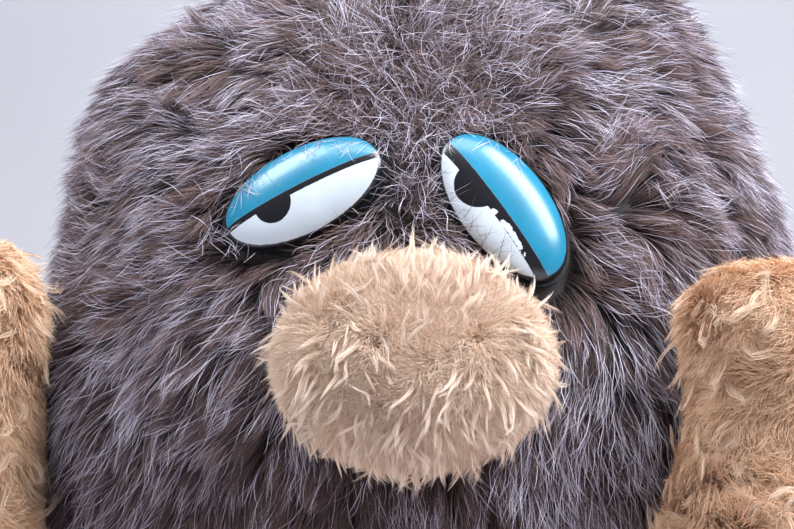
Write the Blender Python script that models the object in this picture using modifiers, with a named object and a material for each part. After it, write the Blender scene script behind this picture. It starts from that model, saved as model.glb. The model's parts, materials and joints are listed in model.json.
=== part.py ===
"""Stuffed monkey: one round furry body that is head and body in one, with a tan muzzle,
comic plastic eyes, and tan arms and legs sewn on at the sides and below.

Frame: metres, +Z up, the face looks along -Y, the viewer's right is +X.
Azimuth is measured round the body's own axis from the face (-Y) towards +X.
A cloth piece is modelled with its pile, so its thickness is backing cloth plus combed fur.
"""

from math import asin, cos, pi, radians, sin, sqrt

import bmesh
import bpy
from mathutils import Matrix, Vector

# ---- overall body -------------------------------------------------------------------------
BODY_RADIUS = 0.133  # widest half width, over the fur
BODY_HEIGHT = 0.268  # floor to crown
WIDEST_Z = 0.110  # height of the widest ring
BASE_RADIUS = 0.062  # where the sewn base disc meets the side panels
PANEL_THICKNESS = 0.012  # backing cloth and pile
CROWN_HOLE = 0.0015  # the panels stop just short of the axis

# ---- seams of the body, as azimuths in degrees --------------------------------------------
FRONT_SEAM = 0.0
RIGHT_SEAM = 43.0
BACK_SEAM = 180.0
LEFT_SEAM = -63.0

# ---- clearances ---------------------------------------------------------------------------
SEAM_GAP = 0.0004  # between two neighbouring cloth pieces
FILL_GAP = 0.0009  # between a cloth piece and the stuffing behind it
PLASTIC_GAP = 0.0002  # between the snapped eye pieces
POCKET_ROOM = 0.0010  # how much longer and wider the pressed hollow is than the plate
WASHER_GAP = 0.0014  # between a flat washer and the curved cloth over its middle

# ---- eyes ---------------------------------------------------------------------------------
EYE_LENGTH = 0.0545  # long axis of the black backing plate
EYE_WIDTH = 0.0315
EYE_RIM = 0.0012  # how far the backing shows round the printed dome
EYE_SINK = 0.0090  # underside of the plate below the top of the fur
PLATE_THICKNESS = 0.0014
DOME_EDGE = 0.0010
DOME_HEIGHT = 0.0068
POST_RADIUS = 0.0027
POST_LENGTH = 0.0160
WASHER_RADIUS = 0.0090
WASHER_THICKNESS = 0.0016
EYES = {  # azimuth, height above the widest ring, turn of the long axis
    "left": (-15.5, 0.0692, 29.0),
    "right": (14.4, 0.0648, -58.0),
}

# ---- muzzle -------------------------------------------------------------------------------
MUZZLE_AZIMUTH = 1.5
MUZZLE_Z = 0.0180  # above the widest ring
MUZZLE_HALF_WIDTH = 0.0400
MUZZLE_HALF_HEIGHT = 0.0310
MUZZLE_DEPTH = 0.0270
MUZZLE_CLOTH = 0.0060

# ---- limbs --------------------------------------------------------------------------------
ARM_RADIUS = 0.0290
SHOULDER_Z = {"left": 0.134, "right": 0.128}  # heights of the shoulder pivots
ARM_REACH = 0.078  # shoulder centre down to hand centre
ARM_BLUNT = 3.0  # over 2 squares off the ends
ARM_TUCK = {"left": -0.004, "right": 0.012}  # how far the hand leans in towards the body
ARM_CLEARANCE = 0.0026
NECK_RADIUS = 0.0100  # gathered end of the arm, sewn through the side seam
NECK_DEPTH = 0.0200  # from the body's surface inwards
LEG_RADIUS = 0.0225
FOOT_RADIUS = 0.0270
LEG_LENGTH = 0.078  # hip centre to foot centre
LEG_AZIMUTH = 15.0
LEG_SPLAY = 9.0
LEG_CLEARANCE = 0.0010
LEG_BLUNT = 2.0  # round ends, so the hip can turn
LIMB_CLOTH = 0.0055

# ---- mesh fineness ------------------------------------------------------------------------
STEP_DEGREES = 7.5
PROFILE_POINTS = 20


# ---- scene and materials ------------------------------------------------------------------
for old in list(bpy.data.objects):
    bpy.data.objects.remove(old, do_unlink=True)

toy = bpy.data.collections.new("stuffed_monkey")
cutters = bpy.data.collections.new("cutters")
bpy.context.scene.collection.children.link(toy)
bpy.context.scene.collection.children.link(cutters)


def material(name, colour, roughness):
    """A plain surface of one colour."""
    mat = bpy.data.materials.new(name)
    mat.use_nodes = True
    shader = mat.node_tree.nodes["Principled BSDF"]
    shader.inputs["Base Color"].default_value = (*colour, 1.0)
    shader.inputs["Roughness"].default_value = roughness
    shader.inputs["Metallic"].default_value = 0.0
    mat.diffuse_color = (*colour, 1.0)
    return mat


BROWN_FUR = material("brown_fur", (0.13, 0.085, 0.075), 0.95)
TAN_FUR = material("tan_fur", (0.62, 0.40, 0.22), 0.95)
STUFFING = material("stuffing", (0.82, 0.80, 0.76), 1.0)
EYE_PRINT = material("eye_print", (0.12, 0.47, 0.68), 0.12)
EYE_BLACK = material("eye_black", (0.012, 0.012, 0.014), 0.2)
WASHER_WHITE = material("washer_white", (0.75, 0.75, 0.73), 0.45)


def add(name, mesh, mat, where=toy):
    """Puts a mesh into the scene as a named object."""
    ob = bpy.data.objects.new(name, mesh)
    mesh.name = name
    where.objects.link(ob)
    if where is cutters:
        ob.hide_render = True
        ob.display_type = "WIRE"
    else:
        mesh.materials.clear()
        mesh.materials.append(mat)
    return ob


def cutter(name, mesh, matrix=None):
    ob = add(name, mesh, None, cutters)
    if matrix is not None:
        ob.matrix_world = matrix
    return ob


def smooth(ob, angle=40.0):
    """Smooth shading with the real edges left sharp."""
    for face in ob.data.polygons:
        face.use_smooth = True
    ob.data.set_sharp_from_angle(angle=radians(angle))


def boolean(ob, other, operation):
    mod = ob.modifiers.new(operation.lower() + "_" + other.name, "BOOLEAN")
    mod.operation = operation
    mod.solver = "EXACT"
    mod.object = other
    return mod


def mesh_from(bm):
    mesh = bpy.data.meshes.new("piece")
    bmesh.ops.recalc_face_normals(bm, faces=bm.faces)
    bm.to_mesh(mesh)
    bm.free()
    return mesh


# ---- the body's outline -------------------------------------------------------------------
CROWN_RISE = BODY_HEIGHT - WIDEST_Z
BASE_DROP = WIDEST_Z / sqrt(1.0 - (BASE_RADIUS / BODY_RADIUS) ** 2)


def outline(turn):
    """Radius and height of the outline at a turn from the crown (0) round to the base."""
    rise = CROWN_RISE if turn <= pi / 2 else BASE_DROP
    return BODY_RADIUS * sin(turn), WIDEST_Z + rise * cos(turn)


FIRST_TURN = asin(CROWN_HOLE / BODY_RADIUS)
LAST_TURN = pi - asin(BASE_RADIUS / BODY_RADIUS)


def outline_normal(turn):
    rise = CROWN_RISE if turn <= pi / 2 else BASE_DROP
    n = Vector((sin(turn) / BODY_RADIUS, 0.0, cos(turn) / rise))
    return n.normalized()


def turn_at(z):
    """The turn at which the outline has height z above the widest ring."""
    rise = CROWN_RISE if z >= 0.0 else BASE_DROP
    return pi / 2 - asin(z / rise)


def outward(azimuth):
    a = radians(azimuth)
    return Vector((sin(a), -cos(a), 0.0))


def surface_frame(azimuth, z, lift=0.0, roll=0.0):
    """A matrix with Z out of the body's surface and X turned by roll from the viewer's right."""
    turn = turn_at(z)
    radius, height = outline(turn)
    n = outline_normal(turn)
    normal = outward(azimuth) * n.x + Vector((0.0, 0.0, n.z))
    right = Vector((0.0, 0.0, 1.0)).cross(normal).normalized()
    up = normal.cross(right)
    x_axis = right * cos(radians(roll)) + up * sin(radians(roll))
    y_axis = normal.cross(x_axis)
    place = outward(azimuth) * radius + Vector((0.0, 0.0, height)) + normal * lift
    matrix = Matrix((x_axis, y_axis, normal)).transposed().to_4x4()
    matrix.translation = place
    return matrix


def inner_outline(depth):
    """Points of the outline moved in by depth, from the crown to the base."""
    points = []
    for i in range(PROFILE_POINTS + 1):
        turn = FIRST_TURN + (LAST_TURN - FIRST_TURN) * i / PROFILE_POINTS
        radius, height = outline(turn)
        n = outline_normal(turn)
        place = max(radius - n.x * depth, CROWN_HOLE * 0.9)
        points.append(Vector((place, 0.0, height - n.z * depth)))
    return points


def line_mesh(points, closed=False):
    mesh = bpy.data.meshes.new("profile")
    edges = [(i, i + 1) for i in range(len(points) - 1)]
    if closed:
        edges.append((len(points) - 1, 0))
    mesh.from_pydata([tuple(p) for p in points], edges, [])
    return mesh


def lathe(ob, sweep=360.0, step=STEP_DEGREES):
    mod = ob.modifiers.new("turn", "SCREW")
    mod.angle = radians(sweep)
    mod.steps = max(3, round(sweep / step))
    mod.render_steps = mod.steps
    mod.use_merge_vertices = True
    mod.merge_threshold = 0.00001
    mod.use_smooth_shade = True
    return mod


def closed_turning(name, points, mat, where=toy, step=STEP_DEGREES):
    """A full lathed solid whose profile starts and ends on the axis."""
    ob = add(name, line_mesh(points), mat, where)
    lathe(ob, step=step)
    return ob


# ---- body panels --------------------------------------------------------------------------
def wedge(name, start, end):
    """An upright wedge between two azimuths, moved out a little so the seam gap is even."""
    bm = bmesh.new()
    corners = [bm.verts.new((0.0, 0.0, -0.1))]
    fan = 4
    for i in range(fan + 1):
        far = outward(start + (end - start) * i / fan) * 0.4
        corners.append(bm.verts.new((far.x, far.y, -0.1)))
    face = bm.faces.new(corners)
    pulled = bmesh.ops.extrude_face_region(bm, geom=[face])["geom"]
    raised = [item for item in pulled if isinstance(item, bmesh.types.BMVert)]
    bmesh.ops.translate(bm, verts=raised, vec=(0.0, 0.0, 0.5))
    half = radians(end - start) / 2
    shift = outward((start + end) / 2) * (SEAM_GAP / 2 / sin(half))
    return cutter(name, mesh_from(bm), Matrix.Translation(shift))


def body_panel(name, start, end):
    """One cloth gore between two seams, cut from the lathed shell of the whole body."""
    points = inner_outline(0.0) + list(reversed(inner_outline(PANEL_THICKNESS)))
    ob = add(name, line_mesh(points, closed=True), BROWN_FUR)
    lathe(ob)
    boolean(ob, wedge("cut_" + name, start, end), "INTERSECT")
    return ob


PANELS = {
    "body_panel_front_left": body_panel("body_panel_front_left", LEFT_SEAM, FRONT_SEAM),
    "body_panel_front_right": body_panel("body_panel_front_right", FRONT_SEAM, RIGHT_SEAM),
    "body_panel_back_right": body_panel("body_panel_back_right", RIGHT_SEAM, BACK_SEAM),
    "body_panel_back_left": body_panel("body_panel_back_left", BACK_SEAM, LEFT_SEAM + 360.0),
}

base_normal = outline_normal(LAST_TURN)
base_edge = BASE_RADIUS - 2 * SEAM_GAP
base_top = base_edge - base_normal.x * PANEL_THICKNESS
base_height = -base_normal.z * PANEL_THICKNESS
body_base = closed_turning(
    "body_base",
    [
        Vector((0.0, 0.0, base_height)),
        Vector((base_top, 0.0, base_height)),
        Vector((base_edge, 0.0, 0.0)),
        Vector((0.0, 0.0, 0.0)),
    ],
    BROWN_FUR,
)

fill_points = inner_outline(PANEL_THICKNESS + FILL_GAP)
fill_floor = base_height + FILL_GAP
fill_points[-1] = Vector((fill_points[-1].x - 0.0006, 0.0, fill_floor))
fill_points.append(Vector((0.0, 0.0, fill_floor)))
fill_points[0].x = 0.0
body_stuffing = closed_turning("body_stuffing", fill_points, STUFFING, step=9.0)

# a lathed copy of the outside, a little proud, that shapes whatever is sewn against the body
skin_points = inner_outline(-0.0008)
skin_points[0].x = 0.0
skin_points.append(Vector((0.0, 0.0, skin_points[-1].z)))
body_shape = closed_turning("cut_body_shape", skin_points, None, cutters, step=4.5)


# ---- eyes ---------------------------------------------------------------------------------
def oval_disc(radius, length, width, floor, top, segments=28):
    """An upright oval prism about the local Z axis."""
    bm = bmesh.new()
    bmesh.ops.create_cone(
        bm, cap_ends=True, segments=segments, radius1=radius, radius2=radius, depth=top - floor
    )
    bmesh.ops.translate(bm, verts=bm.verts, vec=(0.0, 0.0, (top + floor) / 2))
    bmesh.ops.scale(bm, verts=bm.verts, vec=(length / 2 / radius, width / 2 / radius, 1.0))
    return mesh_from(bm)


def round_bar(radius, floor, top, segments=20):
    bm = bmesh.new()
    bmesh.ops.create_cone(
        bm, cap_ends=True, segments=segments, radius1=radius, radius2=radius, depth=top - floor
    )
    bmesh.ops.translate(bm, verts=bm.verts, vec=(0.0, 0.0, (top + floor) / 2))
    return mesh_from(bm)


def dome_mesh(length, width, edge, height, rings=5, segments=28):
    """A low oval dome on a short straight edge, flat underneath."""
    bm = bmesh.new()
    levels = []
    for i in range(rings + 1):
        t = (pi / 2) * i / rings
        levels.append((cos(t), edge + (height - edge) * sin(t)))
    levels.insert(0, (1.0, 0.0))
    loops = []
    for share, z in levels[:-1]:
        loop = []
        for k in range(segments):
            a = 2 * pi * k / segments
            loop.append(bm.verts.new((length / 2 * share * cos(a), width / 2 * share * sin(a), z)))
        loops.append(loop)
    peak = bm.verts.new((0.0, 0.0, levels[-1][1]))
    for low, high in zip(loops, loops[1:]):
        for k in range(segments):
            j = (k + 1) % segments
            bm.faces.new((low[k], low[j], high[j], high[k]))
    for k in range(segments):
        bm.faces.new((loops[-1][k], loops[-1][(k + 1) % segments], peak))
    bm.faces.new(list(reversed(loops[0])))
    return mesh_from(bm)


def other_side(side):
    return "left" if side == "right" else "right"


def crosses_front_seam(frame, side):
    """Whether an eye is long enough to lie over the front seam as well as its own panel."""
    toward = 1.0 if side == "right" else -1.0
    for k in range(72):
        a = 2 * pi * k / 72
        half_length = EYE_LENGTH / 2 + POCKET_ROOM / 2
        half_width = EYE_WIDTH / 2 + POCKET_ROOM / 2
        rim = frame @ Vector((half_length * cos(a), half_width * sin(a), EYE_SINK))
        if rim.x * toward < SEAM_GAP / 2:
            return True
    return False


def build_eye(side, azimuth, z, roll):
    """Black backing plate with its post, printed dome on top, and the lock washer inside."""
    frame = surface_frame(azimuth, z, lift=-EYE_SINK, roll=roll)
    panel = PANELS["body_panel_front_" + side]

    plate = add(
        "eye_" + side + "_backing",
        oval_disc(0.01, EYE_LENGTH, EYE_WIDTH, 0.0, PLATE_THICKNESS),
        EYE_BLACK,
    )
    plate.matrix_world = frame
    post = cutter("cut_post_" + side, round_bar(POST_RADIUS, -POST_LENGTH, 0.001), frame)
    boolean(plate, post, "UNION")

    dome = add(
        "eye_" + side + "_dome",
        dome_mesh(EYE_LENGTH - 2 * EYE_RIM, EYE_WIDTH - 2 * EYE_RIM, DOME_EDGE, DOME_HEIGHT),
        EYE_PRINT,
    )
    dome.matrix_world = frame @ Matrix.Translation((0.0, 0.0, PLATE_THICKNESS + PLASTIC_GAP))

    # the plate presses the pile down, and the post goes through the cloth
    pocket = cutter(
        "cut_pocket_" + side,
        oval_disc(0.01, EYE_LENGTH + POCKET_ROOM, EYE_WIDTH + POCKET_ROOM, -SEAM_GAP, 0.03),
        frame,
    )
    boolean(panel, pocket, "DIFFERENCE")
    if crosses_front_seam(frame, side):
        boolean(PANELS["body_panel_front_" + other_side(side)], pocket, "DIFFERENCE")
    post_hole = cutter(
        "cut_post_hole_" + side, round_bar(POST_RADIUS + PLASTIC_GAP * 2, -0.03, 0.01), frame
    )
    boolean(panel, post_hole, "DIFFERENCE")

    inside = -(PANEL_THICKNESS - EYE_SINK) - WASHER_GAP
    washer = add(
        "eye_" + side + "_washer",
        round_bar(WASHER_RADIUS, inside - WASHER_THICKNESS, inside),
        WASHER_WHITE,
    )
    washer.matrix_world = frame
    bore = cutter(
        "cut_washer_bore_" + side, round_bar(POST_RADIUS + PLASTIC_GAP, -0.03, 0.01), frame
    )
    boolean(washer, bore, "DIFFERENCE")

    hollow = cutter(
        "cut_washer_room_" + side,
        round_bar(WASHER_RADIUS + FILL_GAP, -POST_LENGTH - FILL_GAP, 0.02),
        frame,
    )
    boolean(body_stuffing, hollow, "DIFFERENCE")
    smooth(plate)
    smooth(dome)
    smooth(washer)


for eye_side, (eye_azimuth, eye_z, eye_roll) in EYES.items():
    build_eye(eye_side, eye_azimuth, eye_z, eye_roll)


# ---- muzzle -------------------------------------------------------------------------------
def egg(half_width, half_height, depth, segments=28, rings=16):
    bm = bmesh.new()
    bmesh.ops.create_uvsphere(bm, u_segments=segments, v_segments=rings, radius=1.0)
    bmesh.ops.scale(bm, verts=bm.verts, vec=(half_width, half_height, depth))
    return mesh_from(bm)


muzzle_frame = surface_frame(MUZZLE_AZIMUTH, MUZZLE_Z)
muzzle_cover = add(
    "muzzle_cover", egg(MUZZLE_HALF_WIDTH, MUZZLE_HALF_HEIGHT, MUZZLE_DEPTH), TAN_FUR
)
muzzle_cover.matrix_world = muzzle_frame
muzzle_hollow = cutter(
    "cut_muzzle_hollow",
    egg(
        MUZZLE_HALF_WIDTH - MUZZLE_CLOTH,
        MUZZLE_HALF_HEIGHT - MUZZLE_CLOTH,
        MUZZLE_DEPTH - MUZZLE_CLOTH,
    ),
    muzzle_frame,
)
boolean(muzzle_cover, muzzle_hollow, "DIFFERENCE")
boolean(muzzle_cover, body_shape, "DIFFERENCE")
smooth(muzzle_cover)

muzzle_inset = MUZZLE_CLOTH + FILL_GAP
muzzle_stuffing = add(
    "muzzle_stuffing",
    egg(
        MUZZLE_HALF_WIDTH - muzzle_inset,
        MUZZLE_HALF_HEIGHT - muzzle_inset,
        MUZZLE_DEPTH - muzzle_inset,
        segments=20,
        rings=12,
    ),
    STUFFING,
)
muzzle_stuffing.matrix_world = muzzle_frame
boolean(muzzle_stuffing, body_shape, "DIFFERENCE")
smooth(muzzle_stuffing)


# ---- limbs --------------------------------------------------------------------------------
def limb_mesh(stations, around=16):
    """A closed round body along stations of (centre, radius), ending in a point at each end."""
    bm = bmesh.new()
    loops = []
    for i in range(1, len(stations) - 1):
        centre, radius = stations[i]
        along = (stations[i + 1][0] - stations[i - 1][0]).normalized()
        side = along.orthogonal()
        if abs(along.dot(SIDEWAYS)) < 0.95:
            side = (SIDEWAYS - along * along.dot(SIDEWAYS)).normalized()
        across = along.cross(side)
        loop = []
        for k in range(around):
            a = 2 * pi * k / around
            loop.append(bm.verts.new(centre + (side * cos(a) + across * sin(a)) * radius))
        loops.append(loop)
    first = bm.verts.new(stations[0][0])
    final = bm.verts.new(stations[-1][0])
    for low, high in zip(loops, loops[1:]):
        for k in range(around):
            j = (k + 1) % around
            bm.faces.new((low[k], low[j], high[j], high[k]))
    for k in range(around):
        j = (k + 1) % around
        bm.faces.new((first, loops[0][j], loops[0][k]))
        bm.faces.new((final, loops[-1][k], loops[-1][j]))
    return mesh_from(bm)


SIDEWAYS = Vector((0.0, 1.0, 0.0))  # a limb bends in its own XZ plane


def limb_stations(path, radii, inset, blunt, cap_steps=4, middle=5):
    """Stations along a bent path with rounded ends; inset shrinks the limb all over."""

    def at(share):
        a, b, c = path
        return a * (1 - share) ** 2 + b * (2 * share * (1 - share)) + c * share**2

    start_dir = (path[0] - path[1]).normalized()
    end_dir = (path[2] - path[1]).normalized()
    r0, r1 = radii[0] - inset, radii[1] - inset
    stations = []
    for i in range(cap_steps):
        t = (pi / 2) * i / cap_steps
        rise, share = cos(t), sin(t) ** (2 / blunt)
        stations.append((path[0] + start_dir * (r0 * rise), r0 * share))
    for i in range(middle + 1):
        share = i / middle
        stations.append((at(share), r0 + (r1 - r0) * share))
    for i in range(cap_steps - 1, -1, -1):
        t = (pi / 2) * i / cap_steps
        rise, share = cos(t), sin(t) ** (2 / blunt)
        stations.append((path[2] + end_dir * (r1 * rise), r1 * share))
    return stations


def half_space(name, matrix, side):
    """A big block on one side of the limb's own XZ plane, half a seam gap away."""
    size = 0.5
    bm = bmesh.new()
    bmesh.ops.create_cube(bm, size=size)
    shift = side * (size / 2 + SEAM_GAP / 2)
    bmesh.ops.translate(bm, verts=bm.verts, vec=(0.0, shift, 0.0))
    return cutter(name, mesh_from(bm), matrix)


def build_limb(name, halves, matrix, path, radii, blunt, neck=None):
    """Two sewn cover halves round one stuffing, all placed by matrix."""
    hollow = cutter(
        "cut_" + name + "_hollow", limb_mesh(limb_stations(path, radii, LIMB_CLOTH, blunt)), matrix
    )
    neck_bar = None
    if neck is not None:
        neck_bar = cutter("cut_" + name + "_neck", neck, matrix)
    for half, side in halves:
        cover = add(
            name + "_cover_" + half, limb_mesh(limb_stations(path, radii, 0.0, blunt)), TAN_FUR
        )
        cover.matrix_world = matrix
        if neck_bar is not None:
            boolean(cover, neck_bar, "UNION")
        boolean(cover, half_space("cut_" + name + "_" + half, matrix, side), "INTERSECT")
        boolean(cover, hollow, "DIFFERENCE")
        smooth(cover)
    fill = add(
        name + "_stuffing",
        limb_mesh(limb_stations(path, radii, LIMB_CLOTH + FILL_GAP, blunt), around=12),
        STUFFING,
    )
    fill.matrix_world = matrix
    smooth(fill)


def upright_frame(azimuth, origin):
    """X outward at an azimuth, Z up."""
    x_axis = outward(azimuth)
    z_axis = Vector((0.0, 0.0, 1.0))
    matrix = Matrix((x_axis, z_axis.cross(x_axis), z_axis)).transposed().to_4x4()
    matrix.translation = origin
    return matrix


def lying_bar(radius, start, end, segments=24):
    """A round bar along the local X axis."""
    bm = bmesh.new()
    bmesh.ops.create_cone(
        bm, cap_ends=True, segments=segments, radius1=radius, radius2=radius, depth=end - start
    )
    bmesh.ops.rotate(bm, verts=bm.verts, matrix=Matrix.Rotation(pi / 2, 3, "Y"))
    bmesh.ops.translate(bm, verts=bm.verts, vec=((start + end) / 2, 0.0, 0.0))
    return mesh_from(bm)


def build_arm(side, azimuth, beside):
    """An arm that hangs from its shoulder and leans in a little at the hand."""
    height = SHOULDER_Z[side]
    out = BODY_RADIUS + ARM_RADIUS + ARM_CLEARANCE
    shoulder = outward(azimuth) * out + Vector((0.0, 0.0, height))
    frame = upright_frame(azimuth, shoulder)
    path = (
        Vector((0.0, 0.0, 0.0)),
        Vector((0.0, 0.0, -ARM_REACH * 0.55)),
        Vector((-ARM_TUCK[side], 0.0, -ARM_REACH)),
    )
    inner_end = -ARM_RADIUS - ARM_CLEARANCE - NECK_DEPTH
    wall = -ARM_RADIUS + LIMB_CLOTH / 2
    neck = lying_bar(NECK_RADIUS, inner_end, wall)
    # +Y of the frame is towards higher azimuth, the back on the right and the front on the left
    halves = (("back", 1), ("front", -1)) if azimuth > 0 else (("front", 1), ("back", -1))
    build_limb("arm_" + side, halves, frame, path, (ARM_RADIUS, ARM_RADIUS), ARM_BLUNT, neck)

    room = lying_bar(NECK_RADIUS + SEAM_GAP, inner_end - FILL_GAP, 0.0)
    neck_room = cutter("cut_shoulder_" + side, room, frame)
    for panel in beside:
        boolean(PANELS[panel], neck_room, "DIFFERENCE")
    fill_room = lying_bar(NECK_RADIUS + FILL_GAP, inner_end - FILL_GAP, 0.0)
    boolean(body_stuffing, cutter("cut_shoulder_fill_" + side, fill_room, frame), "DIFFERENCE")


build_arm("right", RIGHT_SEAM, ("body_panel_front_right", "body_panel_back_right"))
build_arm("left", LEFT_SEAM, ("body_panel_front_left", "body_panel_back_left"))


def build_leg(side, azimuth, heading):
    """A leg lying on the floor with its round hip just clear of the body."""
    low = turn_at(-WIDEST_Z + 0.001)
    high = turn_at(0.0)
    for _ in range(60):  # the place on the outline whose offset ball rests on the floor
        turn = (low + high) / 2
        radius, height = outline(turn)
        n = outline_normal(turn)
        if height + n.z * (LEG_RADIUS + LEG_CLEARANCE) > LEG_RADIUS:
            high = turn
        else:
            low = turn
    out = radius + n.x * (LEG_RADIUS + LEG_CLEARANCE)
    hip = outward(azimuth) * out + Vector((0.0, 0.0, LEG_RADIUS))
    frame = upright_frame(heading, hip)
    rise = FOOT_RADIUS - LEG_RADIUS
    path = (
        Vector((0.0, 0.0, 0.0)),
        Vector((LEG_LENGTH / 2, 0.0, rise / 2)),
        Vector((LEG_LENGTH, 0.0, rise)),
    )
    halves = (("outer", 1), ("inner", -1)) if azimuth > 0 else (("inner", 1), ("outer", -1))
    build_limb("leg_" + side, halves, frame, path, (LEG_RADIUS, FOOT_RADIUS), LEG_BLUNT)


build_leg("right", LEG_AZIMUTH, LEG_SPLAY)
build_leg("left", -LEG_AZIMUTH, -LEG_SPLAY)
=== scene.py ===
"""Looks of the stuffed monkey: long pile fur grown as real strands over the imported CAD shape."""

import json
import math

import bpy
import numpy as np
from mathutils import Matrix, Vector
from mathutils.bvhtree import BVHTree
from mathutils.kdtree import KDTree


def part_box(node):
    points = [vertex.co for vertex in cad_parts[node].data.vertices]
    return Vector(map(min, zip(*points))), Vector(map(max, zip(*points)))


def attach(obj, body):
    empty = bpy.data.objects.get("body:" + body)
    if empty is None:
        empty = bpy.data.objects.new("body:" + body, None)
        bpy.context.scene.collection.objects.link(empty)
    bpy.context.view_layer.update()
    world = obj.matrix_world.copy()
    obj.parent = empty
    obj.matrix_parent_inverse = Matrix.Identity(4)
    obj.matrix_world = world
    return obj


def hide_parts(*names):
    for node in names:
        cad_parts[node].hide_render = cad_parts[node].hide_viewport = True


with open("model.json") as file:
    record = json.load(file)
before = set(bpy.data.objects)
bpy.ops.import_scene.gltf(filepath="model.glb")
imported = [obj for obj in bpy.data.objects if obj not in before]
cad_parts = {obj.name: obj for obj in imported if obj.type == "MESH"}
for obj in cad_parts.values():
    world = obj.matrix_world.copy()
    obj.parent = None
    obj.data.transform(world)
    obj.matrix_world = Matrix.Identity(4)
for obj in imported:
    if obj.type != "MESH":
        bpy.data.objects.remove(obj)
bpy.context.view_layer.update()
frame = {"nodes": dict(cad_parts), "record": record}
rng = np.random.default_rng(41)
MM = 0.001
THIN = 1.0
PIECE_TRIANGLES = 185000  # the most in one piece of fur
FLOOR_GAP = 0.4 * MM  # strands stay this far over the floor
TONES = 32  # columns of strand shades in the fur materials
UP = np.array((0.0, 0.0, 1.0))

# ---- fur of the body ----------------------------------------------------------------------
PILE_DEPTH = 11.0 * MM  # roots lie this far under the CAD surface
SKIN_DEPTH = 9.5 * MM  # the dark felted undercoat
CLUMP_SPACING = 6.0 * MM
FRONT_UNDER, BACK_UNDER = 1.7e6, 0.6e6  # strands for a square metre
FRONT_GUARD, BACK_GUARD = 0.85e6, 0.35e6


# ---- small helpers ------------------------------------------------------------------------
def unit(v):
    return v / np.maximum(np.linalg.norm(v, axis=-1, keepdims=True), 1e-12)


def dot(a, b):
    return (a * b).sum(-1, keepdims=True)


def smoothstep(x, low, high):
    t = np.clip((x - low) / (high - low), 0.0, 1.0)
    return t * t * (3 - 2 * t)


class Waves:
    """Smooth random values in space, about -1 to 1, that change over the given size."""

    def __init__(self, size, count=14):
        self.k = unit(rng.normal(size=(count, 3))) * (2 * np.pi / size)
        self.k *= rng.uniform(0.5, 1.4, (count, 1))
        self.phase = rng.uniform(0, 2 * np.pi, count)
        self.gain = 1.6 / math.sqrt(count)

    def __call__(self, p):
        return np.sin(p @ self.k.T + self.phase).sum(-1) * self.gain


def cad_mesh(names):
    """Corner places and triangles of some CAD nodes together."""
    corners, faces, start = [], [], 0
    for name in names:
        me = frame["nodes"][name].data
        me.calc_loop_triangles()
        co = np.empty(len(me.vertices) * 3, np.float32)
        me.vertices.foreach_get("co", co)
        tri = np.empty(len(me.loop_triangles) * 3, np.int32)
        me.loop_triangles.foreach_get("vertices", tri)
        corners.append(co.reshape(-1, 3).astype(float))
        faces.append(tri.reshape(-1, 3) + start)
        start += len(me.vertices)
    return np.vstack(corners), np.vstack(faces)


def link(ob, body, slot, *nodes):
    """Puts a piece in the scene on a body and hides the CAD nodes it is for; slot is not used."""
    if ob.name not in bpy.context.scene.collection.objects:
        bpy.context.scene.collection.objects.link(ob)
    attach(ob, body)
    if nodes:
        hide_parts(*nodes)
    return ob


def mesh_object(name, verts, quads, mat):
    me = bpy.data.meshes.new(name)
    me.from_pydata([tuple(v) for v in verts], [], quads)
    for p in me.polygons:
        p.use_smooth = True
    me.materials.append(mat)
    return bpy.data.objects.new(name, me)


# ---- the body's outline, read from the CAD panels -----------------------------------------
PANELS = [
    "body_panel_front_left",
    "body_panel_front_right",
    "body_panel_back_left",
    "body_panel_back_right",
]
panel_corners, _ = cad_mesh(PANELS)
panel_radius = np.hypot(panel_corners[:, 0], panel_corners[:, 1])
BODY_R = float(panel_radius.max())
WIDE_Z = float(panel_corners[panel_radius > 0.9995 * BODY_R, 2].mean())
CROWN = float(panel_corners[:, 2].max()) - WIDE_Z
BASE_R = float(panel_radius[panel_corners[:, 2] < 0.1 * MM].max())
DROP = WIDE_Z / math.sqrt(1 - (BASE_R / BODY_R) ** 2)
LAST_TURN = math.pi - math.asin(BASE_R / BODY_R)


def outline(turn, depth=0.0):
    """Place and normal of the outline in its own plane, for turns from the crown down."""
    rise = np.where(turn <= np.pi / 2, CROWN, DROP)
    radius, height = BODY_R * np.sin(turn), WIDE_Z + rise * np.cos(turn)
    normal = unit(np.stack([np.sin(turn) / BODY_R, np.cos(turn) / rise], -1))
    radius = np.maximum(radius - normal[..., 0] * depth, 0.01 * MM)
    return radius, height - normal[..., 1] * depth, normal


def puff(azimuth, turn):
    """How far the long pile stands out over the temples, beyond the cut of the cloth."""
    side = np.abs(azimuth)
    share = smoothstep(side, 0.45, 1.25) * (1 - 0.75 * smoothstep(side, 1.9, 2.8))
    left = 10.5 * MM * np.exp(-(((turn - 0.84) / 0.22) ** 2))
    left = left + 7 * MM * np.exp(-(((turn - 1.75) / 0.30) ** 2))
    right = 11.5 * MM * np.exp(-(((turn - 0.50) / 0.36) ** 2))
    return share * np.where(azimuth < 0, left, right)


def on_body(azimuth, turn, depth=0.0):
    """Place and outward normal on the furry body at a depth under its outline."""
    radius, height, n = outline(turn, depth - puff(azimuth, turn))
    out = np.stack([np.sin(azimuth), -np.cos(azimuth), np.zeros_like(azimuth)], -1)
    point = out * radius[..., None]
    point[..., 2] = height
    normal = out * n[..., :1]
    normal[..., 2] = n[..., 1]
    return point, normal


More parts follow.
